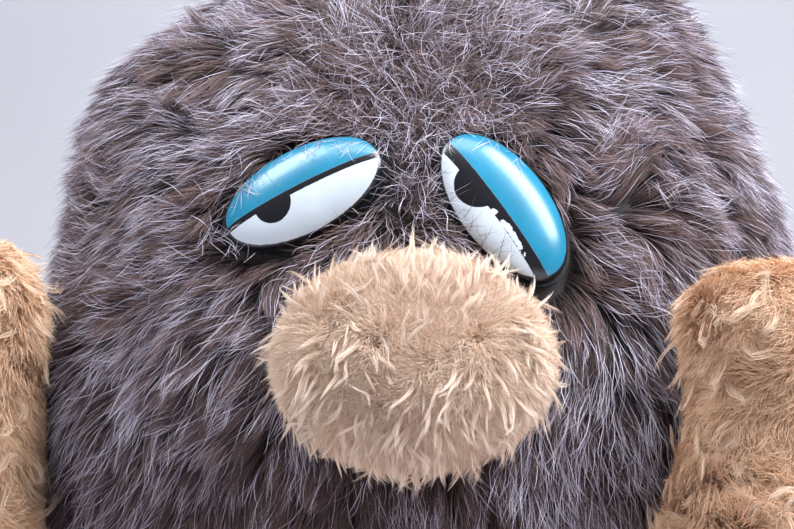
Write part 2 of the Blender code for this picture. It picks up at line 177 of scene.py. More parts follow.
def scatter_on_body(density):
    """Even random places on the body; density gives strands for a square metre."""
    turns = np.linspace(0.02, LAST_TURN - 0.01, 400)
    radius, height, _ = outline(turns)
    step = np.hypot(np.diff(radius), np.diff(height))
    ring = step * (radius[1:] + radius[:-1]) * np.pi
    most = density(np.zeros(1), np.full(1, 1.2))[0]
    count = int(ring.sum() * most)
    share = np.cumsum(ring) / ring.sum()
    turn = np.interp(rng.random(count), np.r_[0.0, share], turns)
    azimuth = rng.uniform(-np.pi, np.pi, count)
    keep = rng.random(count) < density(azimuth, turn) / most
    return azimuth[keep], turn[keep]


def front_share(azimuth, turn):
    """1 over the face, 0 over the back and underneath."""
    side = 1 - smoothstep(np.abs(azimuth), 1.45, 1.9)
    low = 1 - smoothstep(turn, 1.95, 2.3)
    return side * low


# ---- strands ------------------------------------------------------------------------------
def paths(root, normal, comb, length, rise, wave, cycles, steps, bend=1.6):
    """Centre lines of strands: they leave at rise[0] and lie down to rise[1]."""
    pts = np.empty((len(root), steps + 1, 3))
    pts[:, 0] = root
    side = np.cross(normal, comb)
    phase = rng.uniform(0, 2 * np.pi, len(root))
    for i in range(steps):
        t = (i + 0.5) / steps
        lean = (1 - t) ** bend
        up = rise[0] * lean + rise[1] * (1 - lean)
        turn = wave * t * np.sin(2 * np.pi * cycles * t + phase)
        flat = comb * np.cos(turn)[:, None] + side * np.sin(turn)[:, None]
        step = flat * np.cos(up)[:, None] + normal * np.sin(up)[:, None]
        pts[:, i + 1] = pts[:, i] + step * (length / steps)[:, None]
    return pts


def turned(comb, normal, angle):
    """comb turned about normal by an angle for each strand."""
    side = np.cross(normal, comb)
    return comb * np.cos(angle)[:, None] + side * np.sin(angle)[:, None]


def nearest(centres, places):
    tree = KDTree(len(centres))
    for i, c in enumerate(centres):
        tree.insert(c, i)
    tree.balance()
    return np.array([tree.find(p)[1] for p in places])


def ribbons(name, pts, normal, width, tone, mat, body, slot, roll, hold):
    """Strands as thin tapering ribbons, split into pieces small enough to stay whole."""
    steps = pts.shape[1] - 1
    each = 2 * (steps - 1) + 1
    per_piece = PIECE_TRIANGLES // each
    order = np.argsort(np.arctan2(pts[:, 0, 0], -pts[:, 0, 1]), kind="stable")
    pieces = max(1, math.ceil(len(order) / per_piece))
    for number, pick in enumerate(np.array_split(order, pieces)):
        label = name if pieces == 1 else f"{name}_{number + 1:02d}"
        ob = ribbon_piece(label, pts[pick], normal[pick], width[pick], tone[pick], mat, roll, hold)
        link(ob, body, slot)


def ribbon_piece(name, pts, normal, width, tone, mat, roll, hold):
    n, k = pts.shape[0], pts.shape[1] - 1
    tangent = np.empty_like(pts)
    tangent[:, 1:-1] = pts[:, 2:] - pts[:, :-2]
    tangent[:, 0] = pts[:, 1] - pts[:, 0]
    tangent[:, -1] = pts[:, -1] - pts[:, -2]
    tangent = unit(tangent)
    across = unit(np.cross(tangent, normal[:, None, :]))
    face = np.cross(across, tangent)
    spin = rng.uniform(-roll, roll, n)[:, None, None]
    side = across * np.cos(spin) + face * np.sin(spin)
    t = np.linspace(0, 1, k + 1)
    taper = np.clip((1 - t) / (1 - hold), 0.0, 1.0) ** 0.8
    half = 0.5 * width[:, None, None] * np.maximum(taper, 0.0)[None, :, None]
    left, right = pts - side * half, pts + side * half
    verts = np.empty((n, 2 * k + 1, 3), np.float32)
    verts[:, 0 : 2 * k : 2] = left[:, :k]
    verts[:, 1 : 2 * k : 2] = right[:, :k]
    verts[:, 2 * k] = pts[:, k]

    corner, uv_across, uv_along = [], [], []
    for i in range(k - 1):
        corner += [2 * i, 2 * i + 1, 2 * i + 3, 2 * i + 2]
        uv_across += [-1, 1, 1, -1]
        uv_along += [t[i], t[i], t[i + 1], t[i + 1]]
    corner += [2 * (k - 1), 2 * (k - 1) + 1, 2 * k]
    uv_across += [-1, 1, 0]
    uv_along += [t[k - 1], t[k - 1], 1.0]
    corner = np.array(corner, np.int32)
    loops = (np.arange(n, dtype=np.int32)[:, None] * (2 * k + 1) + corner[None]).ravel()
    sizes = np.tile(np.array([4] * (k - 1) + [3], np.int32), n)
    starts = np.concatenate([[0], np.cumsum(sizes)[:-1]]).astype(np.int32)

    me = bpy.data.meshes.new(name)
    me.vertices.add(n * (2 * k + 1))
    me.vertices.foreach_set("co", verts.ravel())
    me.loops.add(len(loops))
    me.loops.foreach_set("vertex_index", loops)
    me.polygons.add(len(sizes))
    me.polygons.foreach_set("loop_start", starts)
    me.polygons.foreach_set("use_smooth", np.ones(len(sizes), bool))
    column = (np.clip((tone * TONES).astype(int), 0, TONES - 1) + 0.5) / TONES
    u = column[:, None] + np.array(uv_across)[None] * (0.3 / TONES)
    v = 0.01 + 0.98 * np.broadcast_to(np.array(uv_along)[None], u.shape)
    layer = me.uv_layers.new(name="OFBake")
    layer.data.foreach_set("uv", np.stack([u, v], -1).astype(np.float32).ravel())
    me.materials.append(mat)
    me.update(calc_edges=True)
    return bpy.data.objects.new(name, me)


# ---- materials ----------------------------------------------------------------------------
def new_material(name, roughness, **inputs):
    mat = bpy.data.materials.new(name)
    mat.use_nodes = True
    shader = mat.node_tree.nodes["Principled BSDF"]
    shader.inputs["Roughness"].default_value = roughness
    for key, value in inputs.items():
        shader.inputs[key.replace("_", " ")].default_value = value
    return mat, mat.node_tree, shader


def node(tree, kind, **settings):
    made = tree.nodes.new(kind)
    for key, value in settings.items():
        setattr(made, key, value)
    return made


def noise(tree, vector, scale, detail, roughness=0.5):
    made = node(tree, "ShaderNodeTexNoise")
    made.inputs["Scale"].default_value = scale
    made.inputs["Detail"].default_value = detail
    made.inputs["Roughness"].default_value = roughness
    tree.links.new(vector, made.inputs["Vector"])
    return made.outputs["Fac"]


def ramp(tree, fac, stops):
    """A colour ramp through (place, colour) stops."""
    stops = list(stops)
    made = node(tree, "ShaderNodeValToRGB")
    bar = made.color_ramp
    while len(bar.elements) < len(stops):
        bar.elements.new(0.5)
    for element, (place, colour) in zip(bar.elements, stops):
        element.position = place
        element.color = (*colour, 1.0)
    tree.links.new(fac, made.inputs["Fac"])
    return made.outputs["Color"]


def mix(tree, fac, a, b, blend="MIX"):
    """Two colours or colour outputs mixed by a number or an output."""
    made = node(tree, "ShaderNodeMix", data_type="RGBA", blend_type=blend)
    if isinstance(fac, float):
        made.inputs[0].default_value = fac
    else:
        tree.links.new(fac, made.inputs[0])
    for socket, value in ((made.inputs[6], a), (made.inputs[7], b)):
        if isinstance(value, tuple):
            socket.default_value = (*value, 1.0)
        else:
            tree.links.new(value, socket)
    return made.outputs[2]


def strand_material(name, roughness, sheen, middles, plain, frosted):
    """Fur coloured along each strand, with every strand between a plain and a frosted shade."""
    mat, tree, shader = new_material(name, roughness, Sheen_Weight=sheen, Sheen_Roughness=0.4)
    shader.inputs["Specular IOR Level"].default_value = 0.35
    uv = node(tree, "ShaderNodeUVMap", uv_map="OFBake")
    split = node(tree, "ShaderNodeSeparateXYZ")
    tree.links.new(uv.outputs["UV"], split.inputs["Vector"])
    snap = node(tree, "ShaderNodeMath", operation="MULTIPLY")
    snap.inputs[1].default_value = TONES
    tree.links.new(split.outputs["X"], snap.inputs[0])
    whole = node(tree, "ShaderNodeMath", operation="FLOOR")
    tree.links.new(snap.outputs[0], whole.inputs[0])
    tone = node(tree, "ShaderNodeMath", operation="DIVIDE")
    tone.inputs[1].default_value = TONES - 1
    tree.links.new(whole.outputs[0], tone.inputs[0])
    a, b = (
        ramp(tree, split.outputs["Y"], zip((0.0, middle, 1.0), colours))
        for middle, colours in zip(middles, (plain, frosted))
    )
    shade = mix(tree, tone.outputs[0], a, b)
    tree.links.new(shade, shader.inputs["Base Color"])
    return mat


def felt_material(name, dark, light, size):
    """Matted undercoat: soft blotches and fine fibre grain in the object's own space."""
    mat, tree, shader = new_material(name, 0.95, Sheen_Weight=0.2, Sheen_Roughness=0.6)
    place = node(tree, "ShaderNodeTexCoord").outputs["Object"]
    fine = noise(tree, place, 1500.0, 3.0)
    base = ramp(tree, noise(tree, place, 1.0 / size, 6.0), [(0.35, dark), (0.68, light)])
    grain = ramp(tree, fine, [(0.3, (0.45, 0.45, 0.45)), (0.7, (1.0, 1.0, 1.0))])
    tree.links.new(mix(tree, 1.0, base, grain, "MULTIPLY"), shader.inputs["Base Color"])
    bump = node(tree, "ShaderNodeBump")
    bump.inputs["Strength"].default_value = 0.6
    bump.inputs["Distance"].default_value = 0.4 * MM
    tree.links.new(fine, bump.inputs["Height"])
    tree.links.new(bump.outputs["Normal"], shader.inputs["Normal"])
    return mat


# name, roughness, sheen, how far along the plainest and the most frosted strand its middle colour
# lies, and the colours at the root, middle and tip of each of the two
FURS = (
    # the underfur's frosted shade is its darker one; it gives random variation and also the painted
    # shade low on the body and below the muzzle
    ("brown_underfur", 0.6, 0.3, (0.4, 0.4),
     ((0.014, 0.007, 0.006), (0.070, 0.034, 0.029), (0.22, 0.122, 0.108)),
     ((0.010, 0.006, 0.006), (0.040, 0.022, 0.021), (0.14, 0.084, 0.080))),
    ("frosted_guard_hair", 0.42, 0.15, (0.4, 0.35),
     ((0.03, 0.018, 0.018), (0.17, 0.11, 0.12), (0.60, 0.54, 0.67)),
     ((0.05, 0.033, 0.035), (0.40, 0.34, 0.41), (0.90, 0.86, 1.0))),
    ("tan_wool", 0.6, 0.35, (0.5, 0.5),
     ((0.62, 0.39, 0.24), (0.72, 0.50, 0.34), (0.79, 0.58, 0.43)),
     ((0.66, 0.44, 0.29), (0.78, 0.58, 0.43), (0.86, 0.70, 0.57))),
    ("cream_tufts", 0.6, 0.3, (0.5, 0.5),
     ((0.66, 0.44, 0.29), (0.79, 0.59, 0.44), (0.88, 0.72, 0.59)),
     ((0.70, 0.48, 0.33), (0.84, 0.66, 0.52), (0.93, 0.81, 0.71))),
    ("tan_silk", 0.6, 0.3, (0.5, 0.5),
     ((0.62, 0.35, 0.19), (0.70, 0.43, 0.25), (0.76, 0.50, 0.32)),
     ((0.66, 0.39, 0.22), (0.75, 0.48, 0.30), (0.81, 0.57, 0.39))),
    ("pale_wisps", 0.55, 0.3, (0.5, 0.5),
     ((0.64, 0.39, 0.22), (0.76, 0.53, 0.35), (0.82, 0.61, 0.44)),
     ((0.68, 0.43, 0.25), (0.82, 0.61, 0.43), (0.90, 0.73, 0.57))),
)
UNDER, GUARD, TAN, TAN_TUFT, TAN_SILK, TAN_WISP = (strand_material(*fur) for fur in FURS)
SKIN = felt_material("brown_felt", (0.010, 0.006, 0.006), (0.035, 0.020, 0.018), 14 * MM)
TAN_SKIN = felt_material("tan_felt", (0.50, 0.29, 0.15), (0.64, 0.40, 0.23), 9 * MM)
FILL = felt_material("fibre_fill", (0.62, 0.60, 0.56), (0.82, 0.80, 0.76), 6 * MM)


# ---- places of the eyes and muzzle --------------------------------------------------------
def flat_frame(node_name):
    """Centre, long axis, short axis, outward normal and half sizes of an oval CAD node."""
    corners, _ = cad_mesh([node_name])
    middle = corners.mean(0)
    values, vectors = np.linalg.eigh(np.cov((corners - middle).T))
    normal, short, long = vectors[:, 0], vectors[:, 1], vectors[:, 2]
    if dot(normal, middle - np.array((0.0, 0.0, WIDE_Z)))[0] < 0:
        normal = -normal
    if long[0] < 0:
        long = -long
    short = np.cross(normal, long)
    half = [np.abs((corners - middle) @ axis).max() for axis in (long, short)]
    lift = (corners - middle) @ normal
    middle = middle + normal * lift.min()
    return middle, long, short, normal, half, lift.max() - lift.min()


EYES = {side: flat_frame(f"eye_{side}_dome") for side in ("left", "right")}
EYE_RIMS = {}
for eye_side, (spot, long, short, facing, half, tall) in EYES.items():
    plate, _ = cad_mesh([f"eye_{eye_side}_backing"])
    upper = plate[(plate - spot) @ facing > -3 * MM]
    reach = [np.abs((upper - spot) @ axis).max() for axis in (long, short)]
    EYE_RIMS[eye_side] = reach

muzzle_low, muzzle_high = (np.array(v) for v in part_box("muzzle_cover"))
muzzle_middle = (muzzle_low + muzzle_high) / 2
muzzle_turn = math.acos((muzzle_middle[2] - WIDE_Z) / CROWN)
muzzle_azimuth = math.asin(muzzle_middle[0] / (BODY_R * math.sin(muzzle_turn)))
spot, facing = on_body(np.array([muzzle_azimuth]), np.array([muzzle_turn]))
MUZZLE_AT, MUZZLE_OUT = spot[0], facing[0]
MUZZLE_RIGHT = unit(np.cross(UP, MUZZLE_OUT))
MUZZLE_UP = np.cross(MUZZLE_OUT, MUZZLE_RIGHT)
muzzle_corners, _ = cad_mesh(["muzzle_cover"])
muzzle_local = muzzle_corners - MUZZLE_AT
MUZZLE_HALF = (
    np.abs(muzzle_local @ MUZZLE_RIGHT).max(),
    np.abs(muzzle_local @ MUZZLE_UP).max(),
    (muzzle_local @ MUZZLE_OUT).max(),
)


def eye_cover(points, side, grow=0.0):
    """How far inside an eye's rim each point lies (below 1 is over the eye), and its height."""
    spot, long, short, facing, _, _ = EYES[side]
    reach = EYE_RIMS[side]
    rel = points - spot
    across = (rel @ long) / (reach[0] + grow)
    along = (rel @ short) / (reach[1] + grow)
    height = rel @ facing
    near = (height > -30 * MM) & (height < 40 * MM)
    return np.where(near, np.hypot(across, along), 9.0), height


def in_muzzle(points, grow=0.0):
    """Below 1 inside the muzzle's egg."""
    rel = points - MUZZLE_AT
    a = (rel @ MUZZLE_RIGHT) / (MUZZLE_HALF[0] + grow)
    b = (rel @ MUZZLE_UP) / (MUZZLE_HALF[1] + grow)
    c = (rel @ MUZZLE_OUT) / (MUZZLE_HALF[2] + grow)
    return np.sqrt(a * a + b * b + c * c)


# ---- combing of the body ------------------------------------------------------------------
PARTING_LOW = WIDE_Z + 62 * MM
sway = Waves(38 * MM)
swirl = Waves(16 * MM)
patch = Waves(24 * MM)
loft = Waves(30 * MM)
parting = Waves(50 * MM)
frost = Waves(13 * MM)


def body_comb(point, normal):
    """The fur leaves the parting over the head to both sides, and falls lower down."""
    x, y, z = point[:, 0] + 9 * MM * parting(point), point[:, 1], point[:, 2]
    low = np.maximum(PARTING_LOW - z, 0.0)
    end_y = np.where(y < 0, -1.0, 1.0) * BODY_R * 0.93
    gap = np.stack([x, np.where(low > 0, y - end_y, 0.0) * 0.6, z - np.maximum(z, PARTING_LOW)], -1)
    away = unit(gap + 1e-9)
    right = smoothstep(x, -4 * MM, 32 * MM)
    fall = 1 - smoothstep(z - WIDE_Z, (12 + 14 * right) * MM, (84 - 14 * right) * MM)
    azimuth = np.arctan2(x, -y)
    weight = 0.75 + 5.0 * right
    weight = weight + 0.9 * smoothstep(np.abs(azimuth), 1.2, 2.2)
    away = away - UP * (fall * weight)[:, None]
    flat = away - normal * dot(away, normal)
    return unit(flat)


def hang(point):
    """1 low on the body, where the fur hangs long and close to the surface, 0 on the head."""
    side = 0.35 + 0.65 * smoothstep(point[:, 0], 0, 45 * MM)
    return side * (1 - smoothstep(point[:, 2] - WIDE_Z, 14 * MM, 58 * MM))


def shaded(point):
    """1 below the muzzle and at the lower left, where shade is painted into the fur: fewer frosted
    guard hairs and darker strand shades stand for the shadow there.
    """
    low = 1 - smoothstep(point[:, 2] - WIDE_Z, -14 * MM, 34 * MM)
    return low * (1 - smoothstep(point[:, 0], 14 * MM, 60 * MM))


def tangle(point):
    """1 in the tangled curls along the parting over the face, 0 elsewhere."""
    x, z = np.abs(point[:, 0]), point[:, 2] - WIDE_Z
    across = 1 - smoothstep(x, 12 * MM, 46 * MM)
    return across * smoothstep(z, 40 * MM, 75 * MM) * (point[:, 1] < 0)


def clear_of_features(pts, over_eye):
    """Which strands to drop: those rooted under an eye or the muzzle, or lying over an eye."""
    drop = np.zeros(len(pts), bool)
    for side in EYES:
        inside, _ = eye_cover(pts[:, 0], side, 0.3 * MM)
        drop |= inside < 1.0
        for i in range(1, pts.shape[1]):
            inside, height = eye_cover(pts[:, i], side)
            drop |= (inside < over_eye) | ((inside < 1.0) & (height < 1.0 * MM))
    drop |= in_muzzle(pts[:, 0], -1 * MM) < 1.0
    return drop


def grow_body(name, density, mat, clumps, settings):
    """One kind of brown fur over the body, gathered towards the clumps' middle lines."""
    s = settings
    azimuth, turn = scatter_on_body(density)
    root, normal = on_body(azimuth, turn, PILE_DEPTH)
    own = nearest(clumps["root"], root)
    if s["frosted"]:
        # fewer frosted guard hairs below the muzzle and at the lower left: painted shade
        chance = (0.12 + 1.1 * clumps["frost"][own] ** 1.5) * (1 - 0.5 * shaded(root))
        frosty = rng.random(len(root)) < chance + 0.2 * hang(root) * (1 - shaded(root))
        azimuth, turn, root, normal = azimuth[frosty], turn[frosty], root[frosty], normal[frosty]
        own = own[frosty]
    mess = tangle(root)
    n = len(root)
    comb = body_comb(root, normal)
    calm = 0.55 + 0.45 * smoothstep(root[:, 2] - WIDE_Z, 5 * MM, 70 * MM)
    angle = clumps["angle"][own] + rng.normal(0, s["fan"], n) * calm
    angle += mess * rng.normal(0, 1.3, n) * s["mess"]
    comb = turned(comb, normal, angle)
    low = hang(root)
    size = s["length"] * rng.uniform(0.7, 1.15, n) * (1 + 0.12 * loft(root) + 0.28 * low)
    rise0 = np.radians(s["rise"][0]) * rng.uniform(0.8, 1.2, n) * (1 - 0.42 * low)
    rise1 = np.radians(s["rise"][1]) + np.radians(9) * rng.normal(0, 1, n)
    wave = s["wave"] * (1 + 1.1 * mess) * rng.uniform(0.2, 1.4, n)
    cycles = rng.uniform(0.45, 1.0, n) * (1 - 0.25 * mess)
    steps = s["steps"]
    pts = paths(root, normal, comb, size, (rise0, rise1), wave, cycles, steps)
    stops = np.round(np.linspace(0, clumps["pts"].shape[1] - 1, steps + 1)).astype(int)
    lead = clumps["pts"][own][:, stops]
    t = np.linspace(0, 1, steps + 1)
    pull = s["pull"] * rng.uniform(s["loose"], 1.0, n) * (1 - 0.6 * mess)
    pts = pts + (lead - pts) * (pull[:, None] * t[None] ** 1.3)[..., None]
    keep = ~clear_of_features(pts, s["over_eye"])
    pts, normal, root = pts[keep], normal[keep], root[keep]
    n = len(pts)
    pts[..., 2] = np.maximum(pts[..., 2], FLOOR_GAP)
    # shade_tone darkens the strands below the muzzle and at the lower left, and low_tone darkens the
    # underfur low on the body: both are painted shade. For the guard hair, low_tone gives more
    # frosted tips low on the body.
    tone = np.clip(
        0.5 + 0.22 * patch(root) + s["low_tone"] * hang(root) + s["shade_tone"] * shaded(root)
        + rng.normal(0, 0.27, n), 0, 0.999
    )
    width = s["width"] * rng.uniform(0.6, 1.3, n)
    front = front_share(azimuth[keep], turn[keep])
    width = width * (1 + (1 - front) * s["back_width"]) * (1 + s["low_width"] * hang(root))
    width = width * math.sqrt(THIN)
    ribbons(name, pts, normal, width, tone, mat, "body", "brown_fur", s["roll"], s["hold"])


def brown_clumps():
    """The locks that the strands gather into: their middle lines, turns and how frosted they are."""
    spacing = 1.0 / CLUMP_SPACING**2
    azimuth, turn = scatter_on_body(lambda a, b: np.full(len(a), spacing))
    root, normal = on_body(azimuth, turn, PILE_DEPTH)
    mess = tangle(root)
    n = len(root)
    calm = 0.4 + 0.6 * smoothstep(root[:, 2] - WIDE_Z, 5 * MM, 70 * MM)
    angle = (0.42 * sway(root) + 0.28 * swirl(root) + rng.normal(0, 0.24, n)) * calm
    angle += mess * rng.normal(0, 1.1, n)
    comb = turned(body_comb(root, normal), normal, angle)
    size = 19.5 * MM * rng.uniform(0.75, 1.2, n) * (1 + 0.28 * hang(root))
    rise0 = np.radians(62) * rng.uniform(0.8, 1.2, n) * (1 - 0.42 * hang(root))
    rise1 = np.radians(14) + np.radians(14) * rng.normal(0, 1, n)
    wave = 0.45 * rng.uniform(0.2, 1.3, n)
    pts = paths(root, normal, comb, size, (rise0, rise1), wave, rng.uniform(0.4, 0.9, n), 12)
    frosted = np.clip(0.5 + 0.3 * frost(root) + rng.normal(0, 0.22, n), 0, 1)
    return dict(root=root, pts=pts, angle=angle, frost=frosted)


clumps = brown_clumps()


def density_of(front, back):
    return lambda a, t: (back + (front - back) * front_share(a, t)) / THIN


grow_body(
    "body_underfur",
    density_of(FRONT_UNDER, BACK_UNDER),
    UNDER,
    clumps,
    dict(
        # low_tone and shade_tone push the underfur to its darker shade low on the body and below the
        # muzzle: painted shade
        frosted=False, low_tone=0.5, shade_tone=0.4, low_width=-0.15, fan=0.16, mess=0.8,
        length=15.5 * MM, rise=(64, 14), wave=0.4, steps=3, pull=0.75, loose=0.2,
        width=0.29 * MM, back_width=0.8, roll=0.9, hold=0.5, over_eye=0.9,
    ),
)
grow_body(
    "body_guard_hair",
    density_of(FRONT_GUARD, BACK_GUARD),
    GUARD,
    clumps,
    dict(
        # shade_tone makes the guard hair plainer and darker below the muzzle and at the lower left:
        # painted shade
        frosted=True, low_tone=0.4, shade_tone=-0.45, low_width=0.35, fan=0.28, mess=1.0,
        length=20.5 * MM, rise=(62, 16), wave=0.75, steps=6, pull=0.8, loose=-0.1,
        width=0.16 * MM, back_width=0.9, roll=1.3, hold=0.6, over_eye=0.8,
    ),
)


# ---- stray hairs over the eyes --------------------------------------------------------------
def eye_strays(side, count, around, reach, mat, label, width):
    """Loose hairs that lie over the rim and a little way across the printed dome."""
    spot, long, short, facing, half, tall = EYES[side]
    a = np.radians(rng.uniform(*around, count))
    start = rng.uniform(1.1, 1.3, count)
    aim = a + np.pi + rng.normal(0, 0.75, count)
    size = rng.uniform(*reach, count)
    steps = 7
    t = np.linspace(0, 1, steps + 1)
    bow = rng.normal(0, 0.8, count)[:, None] * t[None]
    heading = aim[:, None] + bow
    step = (size / steps)[:, None]
    x = (half[0] * start * np.cos(a))[:, None] + np.cumsum(np.cos(heading) * step, 1) - step
    y = (half[1] * start * np.sin(a))[:, None] + np.cumsum(np.sin(heading) * step, 1) - step
    over = np.hypot(x / half[0], y / half[1])
    dome = tall * np.sqrt(np.clip(1 - over**2, 0, 1))
    lift = rng.uniform(0.3, 1.4, count)[:, None] * MM
    height = np.maximum(dome, 1.2 * MM) + lift * (0.4 + t[None])
    height = height + 1.5 * MM * smoothstep(over, 1.0, 1.3)
    pts = spot + long * x[..., None] + short * y[..., None] + facing * height[..., None]
    normal = np.repeat(facing[None], count, 0)
    wide = width * rng.uniform(0.7, 1.2, count)
    tone = rng.random(count)
    ribbons(label, pts, normal, wide, tone, mat, "body", "brown_fur", 0.6, 0.6)


eye_strays("left", 95, (15, 190), (5 * MM, 13 * MM), GUARD, "eye_left_strays", 0.15 * MM)
eye_strays("left", 26, (190, 375), (4 * MM, 8 * MM), GUARD, "eye_left_low_strays", 0.13 * MM)
eye_strays("right", 60, (100, 250), (5 * MM, 11 * MM), GUARD, "eye_right_strays", 0.15 * MM)
eye_strays("right", 46, (255, 330), (6 * MM, 12 * MM), UNDER, "eye_right_low_strays", 0.12 * MM)


# ---- skins under the fur ------------------------------------------------------------------
def closed_rings(rings, around):
    """Faces of stacked rings of points, closed by a top point and a foot point after them."""
    top = rings * around
    faces = []
    for k in range(around):
        j = (k + 1) % around
        for a in range(0, top - around, around):
            faces.append((a + k, a + around + k, a + around + j, a + j))
        faces.append((top, k, j))
        faces.append((top + 1, top - around + j, top - around + k))
    return faces


def lathe_skin(name, depth, mat, around=96, along=56):
    """A closed skin at a depth under the body's outline, flat underneath."""
    turn = np.linspace(0.0, LAST_TURN, along)
    azimuth = np.linspace(-np.pi, np.pi, around, endpoint=False)
    verts = []
    for t in turn[1:]:
        p, n = on_body(azimuth, np.full(around, t), depth)
        p = p + n * (swirl(p) * 0.7 * MM)[:, None]
        p[:, 2] = np.maximum(p[:, 2], 0.8 * MM)
        verts.append(p)
    top, _ = on_body(np.zeros(1), np.full(1, 1e-4), depth)
    foot = np.array([[0.0, 0.0, verts[-1][:, 2].min()]])
    faces = closed_rings(len(verts), around)
    return mesh_object(name, np.vstack(verts + [top, foot]), faces, mat)


skin = lathe_skin("body_skin", SKIN_DEPTH, SKIN)
link(skin, "body", "brown_fur", *PANELS, "body_base")
fill_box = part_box("body_stuffing")
body_fill = lathe_skin("body_fill", BODY_R - fill_box[1].x, FILL, 64, 36)
link(body_fill, "body", "stuffing", "body_stuffing")


# ---- tan pieces: muzzle, arms, legs -------------------------------------------------------
def outer_faces(names, skip=None):
    """The triangles of some CAD nodes that face the open air, with smooth corner normals."""
    corners, faces = cad_mesh(names)
    a, b, c = (corners[faces[:, i]] for i in range(3))
    cross = np.cross(b - a, c - a)
    area = np.linalg.norm(cross, axis=1) / 2
    normal = unit(cross)
    middle = (a + b + c) / 3
    tree = BVHTree.FromPolygons([tuple(v) for v in corners], [tuple(f) for f in faces])
    outside = np.zeros(len(faces), bool)
    for i in np.nonzero(area > 1e-10)[0]:
        start = Vector(middle[i] + normal[i] * 0.05 * MM)
        hit = tree.ray_cast(start, Vector(normal[i]), 60 * MM)[0]
        outside[i] = hit is None
    if skip is not None:
        outside &= ~skip(middle)
    key = np.round(corners / (0.02 * MM)).astype(np.int64)
    _, same = np.unique(key, axis=0, return_inverse=True)
    same = same.ravel()
    total = np.zeros((same.max() + 1, 3))
    for i in range(3):
        np.add.at(total, same[faces[outside, i]], cross[outside])
    corner_normal = unit(total)[same]
    return corners, faces[outside], corner_normal, area[outside]


def scatter_on(surface, density):
    corners, faces, corner_normal, area = surface
    count = int(area.sum() * density)
    pick = rng.choice(len(faces), count, p=area / area.sum())
    u = rng.random((count, 2))
    flip = u.sum(1) > 1
    u[flip] = 1 - u[flip]
    w = np.stack([1 - u.sum(1), u[:, 0], u[:, 1]], -1)
    f = faces[pick]
    point = (corners[f] * w[..., None]).sum(1)
    normal = unit((corner_normal[f] * w[..., None]).sum(1))
    return point, normal


def rises(settings, point):
    """Each strand's angle off the surface at its root and at its tip."""
    n = len(point)
    root = np.radians(settings["rise"][0]) * rng.uniform(0.85, 1.15, n)
    tip = np.radians(settings["rise"][1] + settings["rise_spread"] * rng.normal(0, 1, n))
    return root, tip


def grow_tan(name, surface, comb_of, body, mat, settings):
    """Clumped wool over a surface: lead strands first, then the fine strands that follow them."""
    s = settings
    lead_point, lead_normal = surface(1.0 / s["clump"] ** 2)
    lead_root = lead_point - lead_normal * s["depth"]
    steps = s["steps"]
    n = len(lead_root)
    comb = turned(comb_of(lead_point, lead_normal), lead_normal, rng.normal(0, s["lead_fan"], n))
    rise = rises(s, lead_point)
    lead_pts = paths(
        lead_root, lead_normal, comb, s["length"] * rng.uniform(0.75, 1.2, n), rise,
        s["lead_wave"] * rng.uniform(0.3, 1.2, n), rng.uniform(0.4, 0.9, n), steps,
    )
    lead_tone = rng.uniform(0, 1, n)
    point, normal = surface(s["density"] / THIN)
    root = point - normal * s["depth"]
    own = nearest(lead_root, root)
    n = len(root)
    comb = turned(comb_of(point, normal), normal, rng.normal(0, s["fan"], n))
    rise = rises(s, point)
    pts = paths(
        root, normal, comb, s["length"] * rng.uniform(0.7, 1.1, n), rise,
        s["wave"] * rng.uniform(0.3, 1.2, n), rng.uniform(0.5, 1.3, n), steps,
    )
    t = np.linspace(0, 1, steps + 1)
    pull = s["pull"] * rng.uniform(0.5, 1.0, n)
    pts = pts + (lead_pts[own] - pts) * (pull[:, None] * t[None] ** 1.1)[..., None]
    pts[..., 2] = np.maximum(pts[..., 2], FLOOR_GAP)
    tone = np.clip(0.55 * lead_tone[own] + 0.45 * rng.random(n), 0, 0.999)
    width = s["width"] * rng.uniform(0.7, 1.25, n) * math.sqrt(THIN)
    ribbons(name, pts, normal, width, tone, mat, body, "tan_fur", 1.0, 0.45)


def grow_tufts(name, surface, comb_of, body, mat, settings):
    """Sparse pointed tufts that stand out of the wool."""
    s = settings
    point, normal = surface(1.0 / s["apart"] ** 2)
    n, each, steps = len(point), max(6, int(s["strands"] / THIN)), s["steps"]
    comb = turned(comb_of(point, normal), normal, rng.normal(0, s["fan"], n))
    size = s["length"] * rng.uniform(0.6, 1.25, n)
    rise = rises(s, point)
    wave = s["wave"] * rng.uniform(0.2, 1.3, n)
    lead = paths(
        point - normal * s["depth"], normal, comb, size, rise, wave,
        rng.uniform(0.4, 0.9, n), steps,
    )
    lead = np.repeat(lead, each, 0)
    facing = np.repeat(normal, each, 0)
    side = unit(np.cross(facing, np.repeat(comb, each, 0)))
    ahead = np.cross(side, facing)
    radius = s["radius"] * np.sqrt(rng.random(n * each)) * np.repeat(rng.uniform(0.6, 1.3, n), each)
    a = rng.uniform(0, 2 * np.pi, n * each)
    offset = side * (radius * np.cos(a))[:, None] + ahead * (radius * np.sin(a))[:, None]
    t = np.linspace(0, 1, steps + 1)
    close = 1 - s["close"] * t**0.9
    reach = rng.uniform(0.75, 1.0, n * each)
    pts = lead[:, :1] + (lead - lead[:, :1]) * reach[:, None, None]
    pts = pts + offset[:, None] * close[None, :, None]
    pts[..., 2] = np.maximum(pts[..., 2], FLOOR_GAP)
    tone = np.clip(np.repeat(rng.random(n), each) * 0.6 + rng.random(n * each) * 0.4, 0, 0.999)
    width = s["width"] * rng.uniform(0.7, 1.25, n * each) * math.sqrt(THIN)
    ribbons(name, pts, facing, width, tone, mat, body, "tan_fur", 1.2, 0.4)


